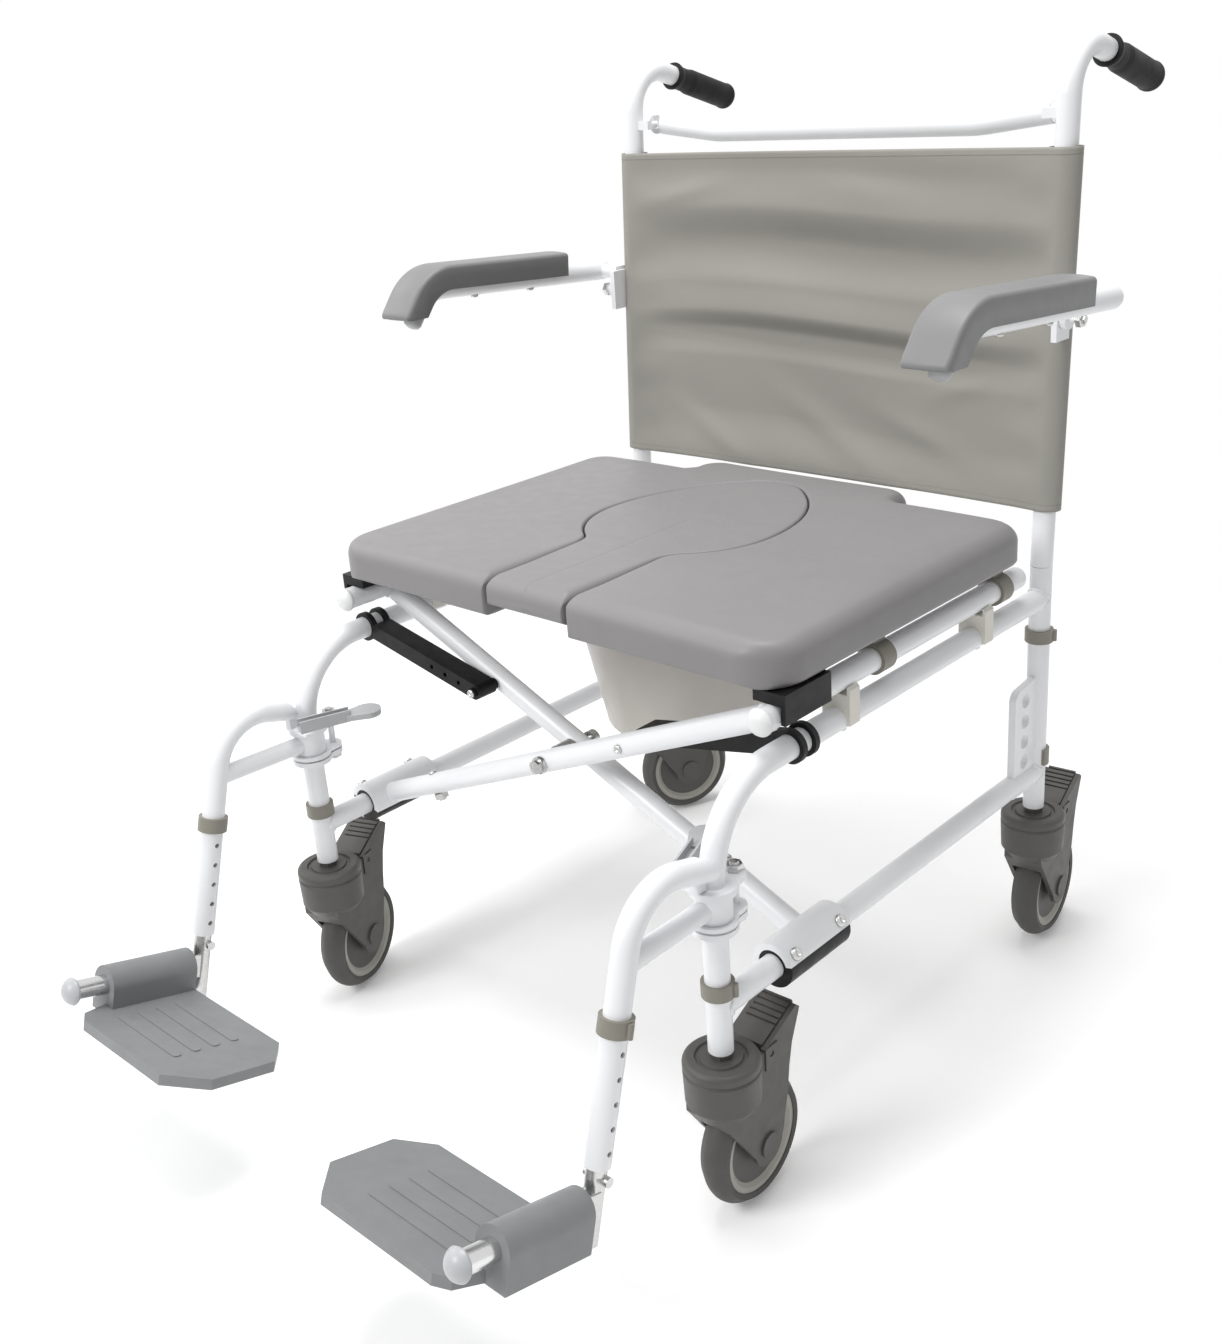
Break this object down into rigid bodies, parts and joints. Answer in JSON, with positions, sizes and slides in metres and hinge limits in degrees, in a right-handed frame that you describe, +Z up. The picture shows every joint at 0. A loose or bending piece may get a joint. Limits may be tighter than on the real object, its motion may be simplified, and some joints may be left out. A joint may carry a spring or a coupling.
{
  "type": "shower commode wheelchair",
  "caption": "Folding tube chair on braked castors with a padded commode seat, a pan, a cloth back, flip-up armrests and swing-away footrests.",
  "frame": {"origin": "centre of the bounding box, on the floor", "axes": "+Z up, +X to the seated person's left, +Y to the rear"},
  "size_m": [0.726, 1.0832, 0.983],
  "materials": {
    "white_tube": "satin powder coat",
    "bright_metal": "polished",
    "black_plastic": "matt moulded",
    "warm_grey_plastic": "matt moulded",
    "beige_plastic": "matt moulded",
    "cap_plastic": "smooth",
    "sling_cloth": "coated weave",
    "seat_foam": "satin integral skin",
    "pad_foam": "satin integral skin",
    "pan_plastic": "milky",
    "rail_metal": "satin",
    "plate_plastic": "moulded",
    "castor_plastic": "moulded",
    "tyre_grey": "matt"
  },
  "bodies": {
    "left_frame": {"left_side_frame": "white_tube", "left_back_post": "white_tube", "left_push_grip": "black_plastic", "left_frame_clips": "warm_grey_plastic", "left_seat_saddles": "beige_plastic", "back_sling": "sling_cloth"},
    "right_frame": {"right_side_frame": "white_tube", "right_back_post": "white_tube", "right_push_grip": "black_plastic", "right_frame_clips": "warm_grey_plastic", "right_seat_saddles": "beige_plastic"},
    "brace_a": {"brace_a_frame": "white_tube", "brace_a_bushing": "black_plastic", "brace_a_end_caps": "cap_plastic", "brace_a_seat_clips": "warm_grey_plastic"},
    "brace_b": {"brace_b_frame": "white_tube", "brace_b_bushing": "black_plastic", "brace_b_end_caps": "cap_plastic", "brace_b_seat_clips": "warm_grey_plastic", "brace_centre_bolt": "bright_metal"},
    "left_link": {"left_link": "black_plastic"},
    "right_link": {"right_link": "black_plastic"},
    "crossbar": {"back_crossbar": "white_tube"},
    "seat": {"seat_cushion": "seat_foam", "seat_front_blocks": "black_plastic", "pan_rails": "rail_metal"},
    "seat_plug": {"seat_plug": "seat_foam"},
    "commode_pan": {"commode_pan": "pan_plastic"},
    "left_armrest": {"left_armrest_tube": "white_tube", "left_armrest_pad": "pad_foam"},
    "left_hanger": {"left_hanger": "white_tube", "left_hanger_clips": "warm_grey_plastic"},
    "left_lever": {"left_hanger_lever": "bright_metal"},
    "left_strut": {"left_footrest_strut": "bright_metal", "left_foot_tube": "bright_metal"},
    "left_footplate": {"left_footplate": "plate_plastic"},
    "right_armrest": {"right_armrest_tube": "white_tube", "right_armrest_pad": "pad_foam"},
    "right_hanger": {"right_hanger": "white_tube", "right_hanger_clips": "warm_grey_plastic"},
    "right_lever": {"right_hanger_lever": "bright_metal"},
    "right_strut": {"right_footrest_strut": "bright_metal", "right_foot_tube": "bright_metal"},
    "right_footplate": {"right_footplate": "plate_plastic"},
    "front_left_castor": {"front_left_castor_housing": "castor_plastic"},
    "front_left_wheel": {"front_left_wheel_hub": "castor_plastic", "front_left_tyre": "tyre_grey"},
    "front_left_pedal": {"front_left_brake_pedal": "castor_plastic"},
    "front_right_castor": {"front_right_castor_housing": "castor_plastic"},
    "front_right_wheel": {"front_right_wheel_hub": "castor_plastic", "front_right_tyre": "tyre_grey"},
    "front_right_pedal": {"front_right_brake_pedal": "castor_plastic"},
    "rear_left_castor": {"rear_left_castor_housing": "castor_plastic"},
    "rear_left_wheel": {"rear_left_wheel_hub": "castor_plastic", "rear_left_tyre": "tyre_grey"},
    "rear_left_pedal": {"rear_left_brake_pedal": "castor_plastic"},
    "rear_right_castor": {"rear_right_castor_housing": "castor_plastic"},
    "rear_right_wheel": {"rear_right_wheel_hub": "castor_plastic", "rear_right_tyre": "tyre_grey"},
    "rear_right_pedal": {"rear_right_brake_pedal": "castor_plastic"}
  },
  "joints": [
    {"name": "fold", "type": "hinge", "parent": "left_frame", "child": "brace_a", "pos_m": [0.281, -0.0905, 0.222], "axis": [0, 1, 0], "range_deg": [0, 17], "deforming": ["back_sling"]},
    {"name": "brace_cross", "type": "hinge", "parent": "brace_a", "child": "brace_b", "pos_m": [0, -0.1125, 0.3425], "axis": [0, 1, 0], "range_deg": [-34, 0]},
    {"name": "right_foot", "type": "hinge", "parent": "brace_b", "child": "right_frame", "pos_m": [-0.281, -0.1345, 0.222], "axis": [0, 1, 0], "range_deg": [0, 17]},
    {"name": "left_link_turn", "type": "hinge", "parent": "left_frame", "child": "left_link", "pos_m": [0.281, -0.1015, 0.425], "axis": [0, 1, 0], "range_deg": [0, 37.4]},
    {"name": "right_link_turn", "type": "hinge", "parent": "right_frame", "child": "right_link", "pos_m": [-0.281, -0.1195, 0.425], "axis": [0, 1, 0], "range_deg": [-37.4, 0]},
    {"name": "crossbar_swing", "type": "hinge", "parent": "left_frame", "child": "crossbar", "pos_m": [0.261, 0.38155, 0.912], "axis": [0, 1, 0], "range_deg": [-80, 0]},
    {"name": "seat_rise", "type": "slide", "parent": "left_frame", "child": "seat", "axis": [0, 0, 1], "range_m": [0, 0.16745]},
    {"name": "plug_lift", "type": "slide", "parent": "seat", "child": "seat_plug", "axis": [0, 0, 1], "range_m": [0, 0.08]},
    {"name": "pan_slide", "type": "slide", "parent": "seat", "child": "commode_pan", "axis": [0, 1, 0], "range_m": [0, 0.36]},
    {"name": "left_armrest_flip", "type": "hinge", "parent": "left_frame", "child": "left_armrest", "pos_m": [0.301, 0.3295, 0.721], "axis": [-1, 0, 0], "range_deg": [0, 95]},
    {"name": "left_hanger_swing", "type": "hinge", "parent": "left_frame", "child": "left_hanger", "pos_m": [0.281, -0.2225, 0.323], "axis": [0, 0, 1], "range_deg": [0, 90]},
    {"name": "left_lever_release", "type": "hinge", "parent": "left_hanger", "child": "left_lever", "pos_m": [0.259, -0.2405, 0.358], "axis": [0, 0, 1], "range_deg": [0, 15], "stiffness_Nm_per_rad": 0.3},
    {"name": "left_strut_length", "type": "slide", "parent": "left_hanger", "child": "left_strut", "axis": [0, -0.2787, -0.9604], "range_m": [0, 0.05]},
    {"name": "left_footplate_flip", "type": "hinge", "parent": "left_strut", "child": "left_footplate", "pos_m": [0.284, -0.3937, 0.13231], "axis": [0, 0.9604, -0.2787], "range_deg": [0, 90]},
    {"name": "right_armrest_flip", "type": "hinge", "parent": "right_frame", "child": "right_armrest", "pos_m": [-0.301, 0.3295, 0.721], "axis": [-1, 0, 0], "range_deg": [0, 95]},
    {"name": "right_hanger_swing", "type": "hinge", "parent": "right_frame", "child": "right_hanger", "pos_m": [-0.281, -0.2225, 0.323], "axis": [0, 0, -1], "range_deg": [0, 90]},
    {"name": "right_lever_release", "type": "hinge", "parent": "right_hanger", "child": "right_lever", "pos_m": [-0.259, -0.2405, 0.358], "axis": [0, 0, -1], "range_deg": [0, 15], "stiffness_Nm_per_rad": 0.3},
    {"name": "right_strut_length", "type": "slide", "parent": "right_hanger", "child": "right_strut", "axis": [0, -0.2787, -0.9604], "range_m": [0, 0.05]},
    {"name": "right_footplate_flip", "type": "hinge", "parent": "right_strut", "child": "right_footplate", "pos_m": [-0.284, -0.3937, 0.13231], "axis": [0, -0.9604, 0.2787], "range_deg": [0, 90]},
    {"name": "front_left_swivel", "type": "hinge", "parent": "left_frame", "child": "front_left_castor", "pos_m": [0.281, -0.2225, 0.16], "axis": [0, 0, 1], "continuous": true},
    {"name": "front_left_spin", "type": "hinge", "parent": "front_left_castor", "child": "front_left_wheel", "pos_m": [0.27974, -0.18652, 0.0625], "axis": [0.9994, 0.0349, 0], "continuous": true},
    {"name": "front_left_brake", "type": "hinge", "parent": "front_left_castor", "child": "front_left_pedal", "pos_m": [0.2795, -0.17953, 0.157], "axis": [-0.9994, -0.0349, 0], "range_deg": [0, 14]},
    {"name": "front_right_swivel", "type": "hinge", "parent": "right_frame", "child": "front_right_castor", "pos_m": [-0.281, -0.2225, 0.16], "axis": [0, 0, 1], "continuous": true},
    {"name": "front_right_spin", "type": "hinge", "parent": "front_right_castor", "child": "front_right_wheel", "pos_m": [-0.29331, -0.18867, 0.0625], "axis": [0.9397, 0.342, 0], "continuous": true},
    {"name": "front_right_brake", "type": "hinge", "parent": "front_right_castor", "child": "front_right_pedal", "pos_m": [-0.29571, -0.18209, 0.157], "axis": [-0.9397, -0.342, 0], "range_deg": [0, 14]},
    {"name": "rear_left_swivel", "type": "hinge", "parent": "left_frame", "child": "rear_left_castor", "pos_m": [0.281, 0.3325, 0.16], "axis": [0, 0, 1], "continuous": true},
    {"name": "rear_left_spin", "type": "hinge", "parent": "rear_left_castor", "child": "rear_left_wheel", "pos_m": [0.27724, 0.3683, 0.0625], "axis": [0.9945, 0.1045, 0], "continuous": true},
    {"name": "rear_left_brake", "type": "hinge", "parent": "rear_left_castor", "child": "rear_left_pedal", "pos_m": [0.27651, 0.37526, 0.157], "axis": [-0.9945, -0.1045, 0], "range_deg": [0, 14]},
    {"name": "rear_right_swivel", "type": "hinge", "parent": "right_frame", "child": "rear_right_castor", "pos_m": [-0.281, 0.3325, 0.16], "axis": [0, 0, 1], "continuous": true},
    {"name": "rear_right_spin", "type": "hinge", "parent": "rear_right_castor", "child": "rear_right_wheel", "pos_m": [-0.26579, 0.36513, 0.0625], "axis": [0.9063, -0.4226, 0], "continuous": true},
    {"name": "rear_right_brake", "type": "hinge", "parent": "rear_right_castor", "child": "rear_right_pedal", "pos_m": [-0.26283, 0.37147, 0.157], "axis": [-0.9063, 0.4226, 0], "range_deg": [0, 14]}
  ],
  "couplings": [
    {"joint": "brace_cross", "follows": "fold", "ratio": -2},
    {"joint": "right_foot", "follows": "fold", "ratio": 1},
    {"joint": "left_link_turn", "follows": "fold", "ratio": 2.2},
    {"joint": "right_link_turn", "follows": "fold", "ratio": -2.2},
    {"joint": "crossbar_swing", "follows": "fold", "ratio": -4.7059},
    {"joint": "seat_rise", "follows": "fold", "m_per_rad": 0.56436}
  ]
}
